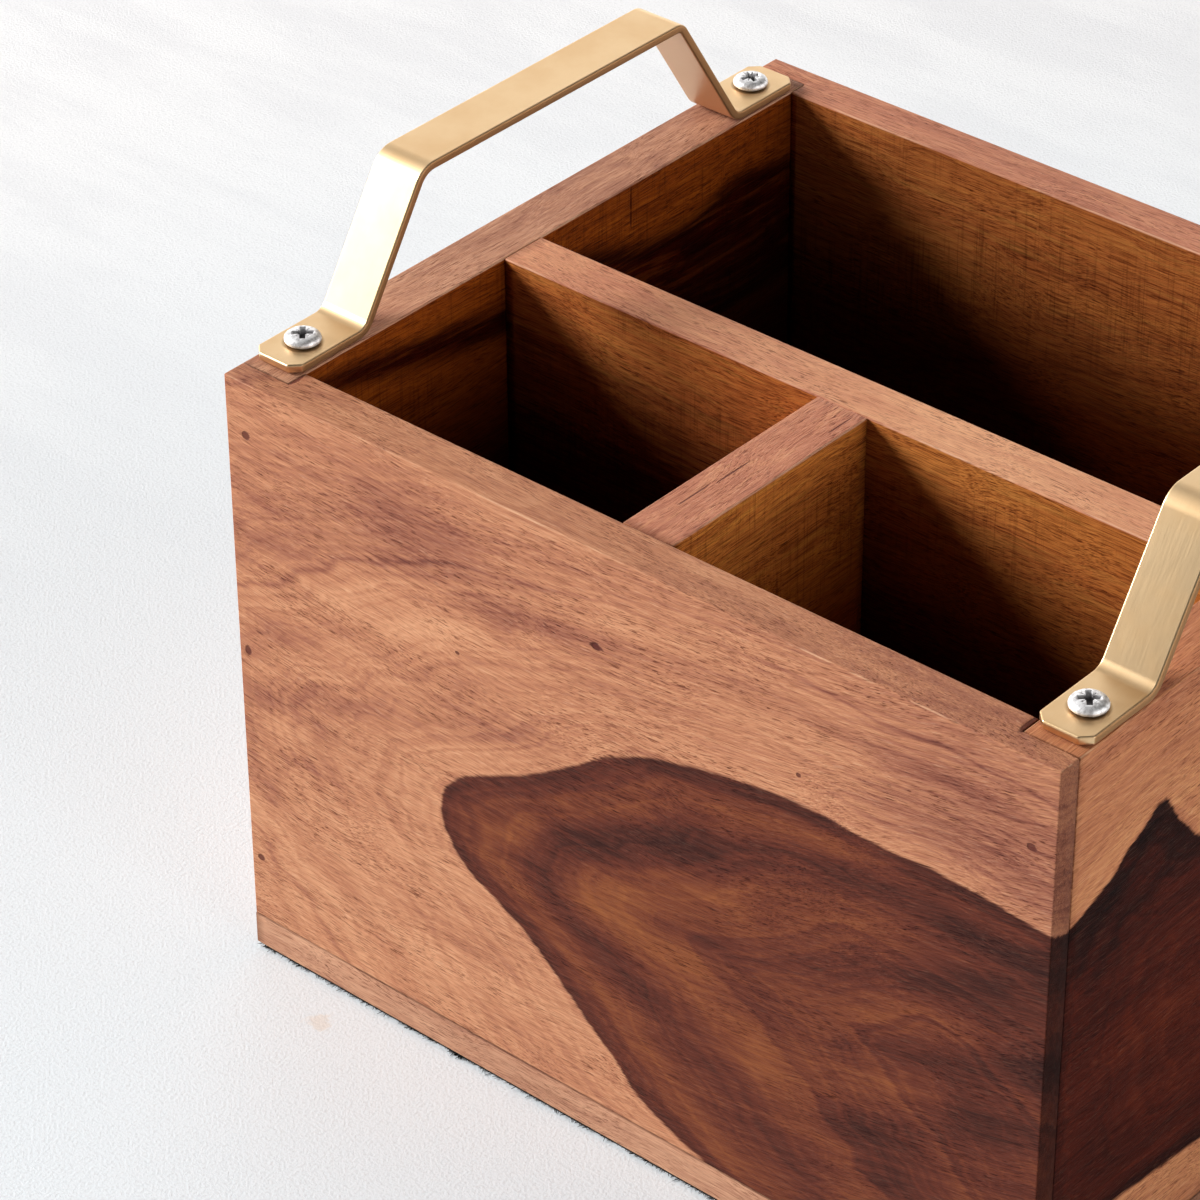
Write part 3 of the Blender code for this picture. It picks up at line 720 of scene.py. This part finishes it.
LEFT_FIGURE = {
    "lengthways": 1,
    "face": -94.5,
    "lean": (0.4, -0.3),
    "hearts": [[
        (-100, 151), (-75.7, 148), (-67.1, 147.1), (-54.4, 145.9), (-41.5, 143.9), (-29.4, 141.5),
        (-18.2, 138.7), (-4, 142), (8.2, 141.4), (23.3, 135.5), (34.3, 133.9), (45.5, 133.1),
        (52.2, 136), (60.1, 138.4), (70.4, 136.9), (79.7, 135), (100, 133), (100, 106),
        (80.5, 104.9), (66, 103.5), (50, 103.2), (30, 108), (10, 118), (-5, 126), (-18.1, 131.5),
        (-35.8, 134.8), (-57.7, 138.7), (-69.3, 141.9), (-100, 146),
    ]],
    "strokes": [
        # The first stroke is painted shade high on the face inside the back bay.
        (0.25, 14, [(12, 146), (40, 142), (78, 142)]),
        (-0.4, 1.6, [(14, 144), (34, 139), (52, 140)]),
        (-0.35, 1.4, [(28, 127), (50, 122), (74, 124)]),
        (0.5, 3, [(44, 126), (56, 121), (66, 128)]),
    ],
}

# A short crack down its inner face.
LEFT_SPOTS = [((-0.0945, 0.024, 0.1457), (0.001, 0.00035, 0.005))]
left_wood = oiled_wood(
    "left_end_wood",
    "Y",
    (-60, 85, -30),
    GREY_SAP,
    UMBER_HEART,
    spots=LEFT_SPOTS,
    bay=LEFT_BAY_SHADE,
    feathers=3,
    joints=END_JOINTS,
)
plain_board("left_end_panel", left_wood, LEFT_FIGURE, ALONG_TOP_X, [(0, "high")])


# Dividers: two plain boards of the same wood, one from end to end and one from the front board to
# the first, butted and held by brads. Their upper arrises are sanded like the rim's.
long_wood = oiled_wood("long_divider_wood", "X", (75, -140, 20), TAN_SAP, RED_HEART)
LONG_FIGURE = {
    "lengthways": 0,
    "face": -18,
    "lean": (0.4, 0.3),
    # Its upper face is painted lighter, as light falling on it.
    "top": -0.4,
    "strokes": [
        (-0.4, 16, [(22, 150), (60, 142), (104, 138)]),
        # The second stroke is painted shade, low down at the left, deep in the front left bay.
        (0.8, 22, [(-98, 114), (-10, 108)]),
    ],
}
LONG_FACES = [(1, "low"), (1, "high")]
plain_board("long_divider", long_wood, LONG_FIGURE, ALONG_TOP_Y, LONG_FACES)
# Painted shade inside the bays for the short divider, lighter than the other boards' tints.
SHORT_BAY_SHADE = (paint(252, 228, 138), paint(176, 132, 66))

# Fine cracks along its upper edge.
SHORT_SPOTS = [
    ((-0.0035, -0.0625, 0.1513), (0.00022, 0.0048, 0.001)),
    ((-0.0028, -0.0515, 0.1513), (0.00022, 0.0052, 0.001)),
    ((0.00265, -0.0240, 0.1513), (0.0002, 0.0037, 0.001)),
]
short_wood = oiled_wood(
    "short_divider_wood", "Y", (-35, 30, 200), TAN_SAP, RED_HEART, spots=SHORT_SPOTS, bay=SHORT_BAY_SHADE
)
SHORT_FIGURE = {"lengthways": 1, "face": 5, "lean": (0.4, 0.3)}
SHORT_FACES = [(0, "low"), (0, "high")]
plain_board("short_divider", short_wood, SHORT_FIGURE, ALONG_TOP_X, SHORT_FACES)


# Bottom board: a thinner plank of the same wood, planted under the four walls and flush with their
# faces. It is glued, and bradded from below.
bottom_wood = oiled_wood(
    "bottom_board_wood", "X", (130, 90, -70), GREY_SAP, RED_HEART, joints=[FOOT_SEAM]
)
BOTTOM_FIGURE = {"lengthways": 0, "face": -90, "lean": (0.4, 0.3)}
UNDER_EDGES = [((axis, side), (2, "low")) for axis in (0, 1) for side in ("low", "high")]
UNDER_EDGES += [((0, a), (1, b)) for a in ("low", "high") for b in ("low", "high")]
plain_board("bottom_board", bottom_wood, BOTTOM_FIGURE, UNDER_EDGES, [])


# Brads: thin pins of dark steel, which hold the glued joints. They are driven in and set below the
# faces, where wood filler hides them.
brad_finish = Finish("dark_steel")
brad_tone = brad_finish.noise(brad_finish.place(), 900)
brad_finish.surface(
    base_color=brad_finish.mix(brad_tone, paint(70, 54, 48), paint(104, 84, 74)),
    roughness=brad_finish.rise(brad_tone, 0.2, 0.8, 0.45, 0.7),
    metallic=1.0,
)
for node_name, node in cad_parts.items():
    if "_brad_" in node_name:
        node.data.materials.clear()
        node.data.materials.append(brad_finish.material)


# Felt: a thin black sheet with rounded corners, glued under the bottom board. Loose fibres stand
# out round its cut edge.
FELT_CORNER = 0.003
felt = Finish("black_felt")
felt_place = felt.place()
felt_fuzz = felt.noise(felt_place, 1400, detail=3, distortion=1.5)
felt_mottle = felt.noise(felt_place, 90)
felt.surface(
    base_color=felt.mix(felt_fuzz * felt_mottle * 2, paint(12, 13, 13), paint(40, 43, 41)),
    roughness=0.95,
    sheen_weight=0.15,
    normal=felt.bump(felt_fuzz, 0.8, 0.0003),
)
low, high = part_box("base_felt")
bm = plank(low, high)
uprights = [edge for edge in bm.edges if abs(edge.verts[0].co.z - edge.verts[1].co.z) > NEAR]
ease(bm, uprights, FELT_CORNER)
felt_lining = made("felt_lining", bm, felt.material)
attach(felt_lining, "root")
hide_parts("base_felt")

# The fibres stand all round the edge, with a thicker tuft in the front.
FIBRES = 2600
FIBRE_LENGTHS = (0.0007, 0.0010, 0.0013, 0.0018)
FIBRE_RADIUS = 0.00012
FIBRE_TIP_RADIUS = 0.00005
FIBRE_ROOT = 0.0002
FIBRE_LOWEST = 0.0001
FIBRE_SWAY = 1.4
FIBRE_LIFTS = (-0.1, 0.5)
TUFT_FIBRES = 80
TUFT_X = -0.047
TUFT_SPREAD = 0.0008
dice = random.Random(7)
bm = bmesh.new()
around = 2 * (high.x - low.x + high.y - low.y)
walks = [dice.uniform(0, around) for _ in range(FIBRES)]
walks += [dice.gauss(TUFT_X - low.x, TUFT_SPREAD) for _ in range(TUFT_FIBRES)]
for walk in walks:
    for start, step in (
        (Vector((low.x, low.y, 0)), Vector((high.x - low.x, 0, 0))),
        (Vector((high.x, low.y, 0)), Vector((0, high.y - low.y, 0))),
        (Vector((high.x, high.y, 0)), Vector((low.x - high.x, 0, 0))),
        (Vector((low.x, high.y, 0)), Vector((0, low.y - high.y, 0))),
    ):
        if walk <= step.length:
            break
        walk -= step.length
    run = step.normalized()
    outwards = Vector((run.y, -run.x, 0))
    root = start + run * walk + Vector((0, 0, dice.uniform(low.z + FIBRE_LOWEST, high.z)))
    length = dice.choice(FIBRE_LENGTHS)
    heading = outwards + run * dice.uniform(-FIBRE_SWAY, FIBRE_SWAY)
    heading = heading + Vector((0, 0, dice.uniform(*FIBRE_LIFTS)))
    fibre = bmesh.ops.create_cone(
        bm,
        cap_ends=True,
        segments=3,
        radius1=FIBRE_RADIUS,
        radius2=FIBRE_TIP_RADIUS,
        depth=length,
    )["verts"]
    turn = Vector((0, 0, 1)).rotation_difference(heading).to_matrix()
    bmesh.ops.translate(bm, vec=(0, 0, length / 2 - FIBRE_ROOT), verts=fibre)
    bmesh.ops.rotate(bm, cent=(0, 0, 0), matrix=turn, verts=fibre)
    bmesh.ops.translate(bm, vec=root, verts=fibre)
for vert in bm.verts:
    vert.co.z = max(vert.co.z, 2 * NEAR)
felt_fibres = made("felt_fibres", bm, felt.material)
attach(felt_fibres, "root")


# Handles: brass strip, sheared to length with its corners clipped, bent cold in four places and
# brushed lengthways. Its long edges are the rolled ones, duller, a little rounded and coloured
# darker with painted shade. Each strip lies along the rim of an end board, under two screws.
STRIP_HALF_WIDTH = 0.0065
STRIP_THICKNESS = 0.002
FOOT_LENGTH = 0.0211
CORNER_CLIP = 0.0024
RISER_RUN = 0.0192
BACK_BEND_RADIUS = 0.002
FRONT_BEND_RADIUS = 0.0045
FOOT_BEND_RADIUS = 0.0035
BEND_STEPS = 10
ROLLED_RADIUS = 0.0005
handle_low, handle_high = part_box("left_handle")
RISE = handle_high.z - handle_low.z - STRIP_THICKNESS
SCREW_INSET = handle_high.y - sum(corner.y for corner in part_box("left_handle_screw_back")) / 2


def brushed_brass(name, middle, reach, polish):
    """Brass brushed along a strip whose middle line is at one X, and whose tips reach so far to
    the front and the back. Polish is how much smoother its risers are than its satin faces."""
    brass = Finish(name)
    place = brass.place()
    brushing = brass.drawn_noise(place, (9000, 160, 160), detail=3)
    fine_brushing = brass.drawn_noise(place, (26000, 500, 500), detail=1)
    cloud = brass.noise(place, 70, detail=3, roughness=0.6)
    across = abs(brass.level(place, "X") - middle)
    endways = abs(brass.level(place, "Y"))
    # The rolled edges are rougher, and painted darker as shade.
    rolled_shaded_edge = brass.rise(across, STRIP_HALF_WIDTH - 0.0003, STRIP_HALF_WIDTH - 0.0001)
    face = brass.mix(brass.rise(cloud, 0.35, 0.7), paint(236, 204, 160), paint(230, 194, 147))
    face = brass.mix(brass.rise(fine_brushing, 0.5, 0.8) * 0.15, face, paint(206, 162, 108))

    # The faces of the risers that look to the front were polished a little further than the rest.
    # The faces that look down get painted shade: a browner colour and less metal.
    facing = brass.node("ShaderNodeNewGeometry", output="Normal")
    polished = brass.rise(brass.level(facing, "Y"), -0.4, -0.8)
    underside_shade = brass.rise(brass.level(facing, "Z"), -0.1, -0.5)
    face = brass.mix(underside_shade * 0.8, face, paint(206, 154, 112))

    # A ring of painted shade lies round the screw heads.
    sockets = {"X": across, "Y": endways - (reach - SCREW_INSET)}
    off = brass.vector("LENGTH", brass.node("ShaderNodeCombineXYZ", {}, sockets))
    ring = brass.rise(off + cloud * 0.0004, 0.0049, 0.0042) * (1 - underside_shade)
    face = brass.mix(ring * 0.6, face, paint(128, 92, 56))
    satin = brass.rise(brushing, 0.2, 0.8, 0.4, 0.44)
    brass.surface(
        base_color=brass.mix(rolled_shaded_edge * 0.8, face, paint(150, 104, 62)),
        roughness=satin + rolled_shaded_edge * 0.15 + cloud * 0.06 - polished * polish,
        metallic=1 - underside_shade * 0.4,
        normal=brass.bump(brushing + fine_brushing * 0.4, 0.15, 0.00002),
    )
    return brass.material


def drawn_on(bm, edge, move, width=None):
    """Draw the strip's leading edge on by a move, and return the new leading edge."""
    geom = bmesh.ops.extrude_edge_only(bm, edges=[edge])["geom"]
    lead = next(item for item in geom if isinstance(item, bmesh.types.BMEdge))
    bmesh.ops.translate(bm, vec=move, verts=lead.verts)
    if width:
        middle = sum((vert.co for vert in lead.verts), Vector()) / 2
        for vert in lead.verts:
            vert.co = middle + (vert.co - middle).normalized() * width
    return lead


def bent(bm, edge, angle, radius, heading):
    """Bend the strip about a centre over or under its leading edge, and return the new edge."""
    point = edge.verts[0].co
    up = Vector((0, -heading.z, heading.y))
    centre = Vector((0, point.y, point.z)) + up * math.copysign(radius, angle)
    geom = bmesh.ops.spin(
        bm,
        geom=[*edge.verts, edge],
        cent=centre,
        axis=(1, 0, 0),
        angle=angle,
        steps=BEND_STEPS,
        use_duplicate=False,
    )["geom_last"]
    return next(item for item in geom if isinstance(item, bmesh.types.BMEdge))


# The right strip was polished a little further than the left one.
for side, polish in (("left", 0.11), ("right", 0.132)):
    low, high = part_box(side + "_handle")
    middle = (low.x + high.x) / 2
    bar = high.y - low.y - 2 * (FOOT_LENGTH + RISER_RUN)
    riser = math.hypot(RISE, RISER_RUN)
    lean = math.atan2(RISE, RISER_RUN)
    ahead = Vector((0, 1, 0))
    upwards = Vector((0, math.cos(lean), math.sin(lean)))
    downwards = Vector((0, math.cos(lean), -math.sin(lean)))

    # Each bend takes a little off the straights before and after it.
    front_outside = FRONT_BEND_RADIUS + STRIP_THICKNESS
    back_outside = BACK_BEND_RADIUS + STRIP_THICKNESS
    foot_share = FOOT_BEND_RADIUS * math.tan(lean / 2)
    front_share = front_outside * math.tan(lean / 2)
    back_share = back_outside * math.tan(lean / 2)
    bm = bmesh.new()
    tip = STRIP_HALF_WIDTH - CORNER_CLIP
    foot_level = low.z + STRIP_THICKNESS
    first = [bm.verts.new((middle + x, low.y, foot_level)) for x in (-tip, tip)]
    edge = bm.edges.new(first)
    edge = drawn_on(bm, edge, ahead * CORNER_CLIP, STRIP_HALF_WIDTH)
    edge = drawn_on(bm, edge, ahead * (FOOT_LENGTH - CORNER_CLIP - foot_share))
    edge = bent(bm, edge, lean, FOOT_BEND_RADIUS, ahead)
    edge = drawn_on(bm, edge, upwards * (riser - foot_share - front_share))
    edge = bent(bm, edge, -lean, front_outside, upwards)
    edge = drawn_on(bm, edge, ahead * (bar - front_share - back_share))
    edge = bent(bm, edge, -lean, back_outside, ahead)
    edge = drawn_on(bm, edge, downwards * (riser - foot_share - back_share))
    edge = bent(bm, edge, lean, FOOT_BEND_RADIUS, downwards)
    edge = drawn_on(bm, edge, ahead * (FOOT_LENGTH - CORNER_CLIP - foot_share))
    edge = drawn_on(bm, edge, ahead * CORNER_CLIP, tip)
    bmesh.ops.remove_doubles(bm, verts=bm.verts, dist=1e-6)
    bmesh.ops.recalc_face_normals(bm, faces=bm.faces)
    if min(bm.faces, key=lambda face: face.calc_center_median().y).normal.z < 0:
        bmesh.ops.reverse_faces(bm, faces=bm.faces)
    brass = brushed_brass(side + "_brass", middle, high.y, polish)
    strip = made(side + "_handle_strip", bm, brass)
    strip.data.shade_smooth()
    gauge = strip.modifiers.new("gauge", "SOLIDIFY")
    gauge.thickness = STRIP_THICKNESS
    gauge.offset = -1
    gauge.use_even_offset = True
    edges = strip.modifiers.new("rolled_edges", "BEVEL")
    edges.width = ROLLED_RADIUS
    edges.segments = 3
    edges.limit_method = "ANGLE"
    edges.angle_limit = math.radians(35)
    strip.modifiers.new("flat_faces", "WEIGHTED_NORMAL").keep_sharp = True
    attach(strip, "root")
    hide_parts(side + "_handle")


# Handle screws: pan head wood screws of zinc plated steel, driven through the strips' feet into the
# end boards. The cross recess is punched with a tapered driver, and has four ticks between its
# arms.
zinc = Finish("zinc_plate")
zinc_tone = zinc.noise(zinc.place(), 1300, detail=3)
zinc_scuff = zinc.drawn_noise(zinc.place(), (2500, 900, 900), detail=3, distortion=0.6)
zinc_colour = zinc.mix(zinc.rise(zinc_tone, 0.35, 0.6), paint(208, 206, 208), paint(252, 252, 254))
zinc.surface(
    # Painted shade darkens the cross recess.
    base_color=zinc.mix(zinc.mark("recess") * 0.88, zinc_colour, paint(52, 42, 42)),
    roughness=zinc.rise(zinc_scuff, 0.3, 0.75, 0.42, 0.6),
    metallic=0.7,
    normal=zinc.bump(zinc_scuff, 0.2, 0.00005),
)
HEAD_RADIUS = 0.004
SOLID_HEAD_HEIGHT = 0.0026
CROWN = 0.0021
SHANK_RADIUS = 0.0019
HEAD_SIDES = 40
RECESS_RADIUS = 0.003
RECESS_SHADE_DEPTH = 0.0006
PUNCHED_EDGE = 0.00006

# Blades of the driver: their span, width and depth, and the share of the span that their foot has.
CROSS = (0.0071, 0.00145, 0.0017, 0.4)
TICKS = (0.0052, 0.0003, 0.00045, 0.7)
BLADE_FOOT_WIDTH_SHARE = 0.8


def turned(profile, sides):
    """A closed shape turned from a profile that runs from its top down to its point."""
    bm = bmesh.new()
    verts = [bm.verts.new((radius, 0, height)) for radius, height in profile]
    edges = [bm.edges.new(pair) for pair in zip(verts, verts[1:])]
    bmesh.ops.spin(
        bm,
        geom=[*verts, *edges],
        cent=(0, 0, 0),
        axis=(0, 0, 1),
        angle=math.tau,
        steps=sides,
        use_merge=True,
        use_duplicate=False,
    )
    bmesh.ops.remove_doubles(bm, verts=bm.verts, dist=1e-7)
    bmesh.ops.recalc_face_normals(bm, faces=bm.faces)
    return bm


def driver_blade(angle, span, width, depth, foot):
    """One blade of the driver, through the crown and turned about the screw's axis."""
    bm = bmesh.new()
    blade = bmesh.ops.create_cube(bm, size=1)["verts"]
    bmesh.ops.scale(bm, vec=(span, width, depth * 2), verts=blade)
    bmesh.ops.translate(bm, vec=(0, 0, CROWN), verts=blade)
    low_end = [vert for vert in blade if vert.co.z < CROWN]
    bmesh.ops.scale(bm, vec=(foot, BLADE_FOOT_WIDTH_SHARE, 1), verts=low_end)
    turn = Matrix.Rotation(math.radians(angle), 3, "Z")
    bmesh.ops.rotate(bm, cent=(0, 0, 0), matrix=turn, verts=blade)
    return bm


# The blank's profile, as radii and heights over the underside of its head.
dome = [(0, CROWN), (0.0012, 0.00208), (0.0022, 0.00200), (0.0029, 0.00185), (0.0034, 0.00162)]
dome += [(0.0037, 0.00136), (0.0039, 0.00106), (HEAD_RADIUS, 0.00072)]
rim = [(0.00396, 0.00044), (0.0038, 0.0002), (0.0035, 0)]
shank = [(SHANK_RADIUS, 0), (SHANK_RADIUS, -0.016), (0.0004, -0.023), (0, -0.0235)]
for name, turn in (
    ("left_handle_screw_front", 42),
    ("left_handle_screw_back", 70),
    ("right_handle_screw_front", 40),
    ("right_handle_screw_back", 5),
):
    # It sits where the solid's head does, which stands a little taller.
    low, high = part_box(name)
    seat = Vector(((low.x + high.x) / 2, (low.y + high.y) / 2, high.z - SOLID_HEAD_HEIGHT))
    blank = made("blank", turned(dome + rim + shank, HEAD_SIDES))
    cutters = [
        made("cross", driver_blade(0, *CROSS)),
        made("cross_arm", driver_blade(90, *CROSS)),
        made("ticks", driver_blade(45, *TICKS)),
        made("tick_arm", driver_blade(135, *TICKS)),
    ]
    for cutter in cutters:
        punch = blank.modifiers.new(cutter.name, "BOOLEAN")
        punch.object = cutter
        punch.solver = "EXACT"
    graph = bpy.context.evaluated_depsgraph_get()
    mesh = bpy.data.meshes.new_from_object(blank.evaluated_get(graph))
    for item in (blank, *cutters):
        bpy.data.objects.remove(item)

    # The recess is marked by how far it lies under the crown, for the painted shade that darkens
    # it.
    punched = np.array([vert.co for vert in mesh.vertices])
    reach = np.hypot(punched[:, 0], punched[:, 1])
    blank_height = np.interp(reach, *zip(*dome))
    sunk = np.clip((blank_height - punched[:, 2]) / RECESS_SHADE_DEPTH, 0, 1)
    values = np.where(reach < RECESS_RADIUS, sunk, 0).astype(np.float32)
    mesh.attributes.new("recess", "FLOAT", "POINT").data.foreach_set("value", values)
    mesh.transform(Matrix.Translation(seat) @ Matrix.Rotation(math.radians(turn), 4, "Z"))
    mesh.materials.clear()
    mesh.materials.append(zinc.material)
    mesh.shade_smooth()
    screw = bpy.data.objects.new(name + "_turned", mesh)
    bpy.context.scene.collection.objects.link(screw)
    edges = screw.modifiers.new("soft_edges", "BEVEL")
    edges.width = PUNCHED_EDGE
    edges.segments = 2
    edges.limit_method = "ANGLE"
    edges.angle_limit = math.radians(40)
    screw.modifiers.new("flat_faces", "WEIGHTED_NORMAL").keep_sharp = True
    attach(screw, "root")
    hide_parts(name)


# Table: a pale limewashed top with a faint stain, which stands for the one in the photo. Near the
# box it is painted a little cooler, against the warm light that the box throws on it.
TABLE_HALF_SIZE = 6
STAIN = (-0.0781, -0.1019, 0)
limewash = Finish("limewash")
table_place = limewash.place()
smear = limewash.drawn_noise(table_place, (7, 26, 1), detail=6, roughness=0.65)
grit = limewash.noise(table_place, 1300, detail=3, roughness=0.6)
pale = limewash.mix(limewash.rise(smear, 0.42, 0.62), paint(245, 245, 247), paint(237, 237, 240))
# Painted light: a cooler tint near the box.
painted_cool_near_box = limewash.rise(limewash.vector("LENGTH", table_place), 0.5, 0.15)
pale = limewash.mix(painted_cool_near_box, pale, paint(232, 240, 246))
off = limewash.vector("DISTANCE", table_place, STAIN)
off = off + (limewash.noise(table_place, 260, detail=3) - 0.5) * 0.009
stained = limewash.rise(off + (grit - 0.5) * 0.003, 0.0036, 0.001) * 0.4
pale = limewash.mix(stained, pale, paint(226, 206, 184))
limewash.surface(
    base_color=limewash.mix(limewash.rise(grit, 0.48, 0.72) * 0.3, pale, paint(198, 200, 204)),
    roughness=0.8,
    normal=limewash.bump(grit, 0.5, 0.0003),
)
bm = bmesh.new()
bmesh.ops.create_grid(bm, x_segments=1, y_segments=1, size=TABLE_HALF_SIZE)
table = made("table", bm, limewash.material)


# Light: a wide low window on the front left, pale low surroundings and four brighter pale walls,
# under a dark ceiling, so that the bays grow dark with depth.
WINDOW_PLACE = Vector((-4.85, -2.47, 2.61))
WINDOW_AIM = Vector((0, 0, 0.1))
WINDOW_SIZE = 2.16
WINDOW_WATTS = 568
DAYLIGHT = (1, 0.99, 0.975)
lamp = bpy.data.lights.new("front_left_window", "AREA")
lamp.shape = "SQUARE"
lamp.size = WINDOW_SIZE
lamp.energy = WINDOW_WATTS
lamp.color = DAYLIGHT
window = bpy.data.objects.new("front_left_window", lamp)
window.location = WINDOW_PLACE
window.rotation_euler = (WINDOW_AIM - WINDOW_PLACE).to_track_quat("-Z", "Y").to_euler()
bpy.context.scene.collection.objects.link(window)


class Room(Finish):
    """The world's node tree, built by the same method as a material's."""

    def __init__(self, name):
        self.world = bpy.data.worlds.new(name)
        self.world.use_nodes = True
        self.tree = self.world.node_tree
        self.shader = self.tree.nodes["Background"]


room = Room("room")
bpy.context.scene.world = room.world
outward = room.node("ShaderNodeTexCoord", output="Generated")
low_down = room.rise(room.level(outward, "Z"), 0.0, 0.42, 1.0, 0.0)
glow = low_down * room.rise(room.level(outward, "Y"), -0.6, 0.3, 0.5, 2.4)

# Each wall is its heading, the cosines off it where its light starts and is full, and its power.
bright_walls = [
    ((-0.55, 0.64, 0.53), (0.88, 0.985), 1.25),
    ((0.96, 0.1, 0.22), (0.80, 0.97), 2.45),
    ((-0.59, -0.08, 0.80), (0.90, 0.985), 0.8),
    ((-0.77, -0.59, 0.25), (0.95, 0.99), 0.4),
]
for heading, reach, power in bright_walls:
    glow = glow + room.rise(room.vector("DOT_PRODUCT", outward, heading), *reach, 0, power)
room.surface(color=(1, 0.985, 0.955, 1), strength=glow)


# Camera: above the right front corner, looking down across the box as the photo does. It is turned
# towards the box, tilted up from straight down, and rolled a little.
CAMERA_PLACE = (0.50451, -0.67340, 0.66993)
TURN, TILT, ROLL = 41.1288, 55.5875, -0.4627
camera = bpy.data.cameras.new("camera")
camera.lens = 142.73
camera.sensor_width = 36
camera_item = bpy.data.objects.new("camera", camera)
bpy.context.scene.collection.objects.link(camera_item)
camera_item.matrix_world = (
    Matrix.Translation(CAMERA_PLACE)
    @ Matrix.Rotation(math.radians(TURN), 4, "Z")
    @ Matrix.Rotation(math.radians(TILT), 4, "X")
    @ Matrix.Rotation(math.radians(ROLL), 4, "Z")
)
bpy.context.scene.camera = camera_item
bpy.context.scene.view_settings.view_transform = "Standard"
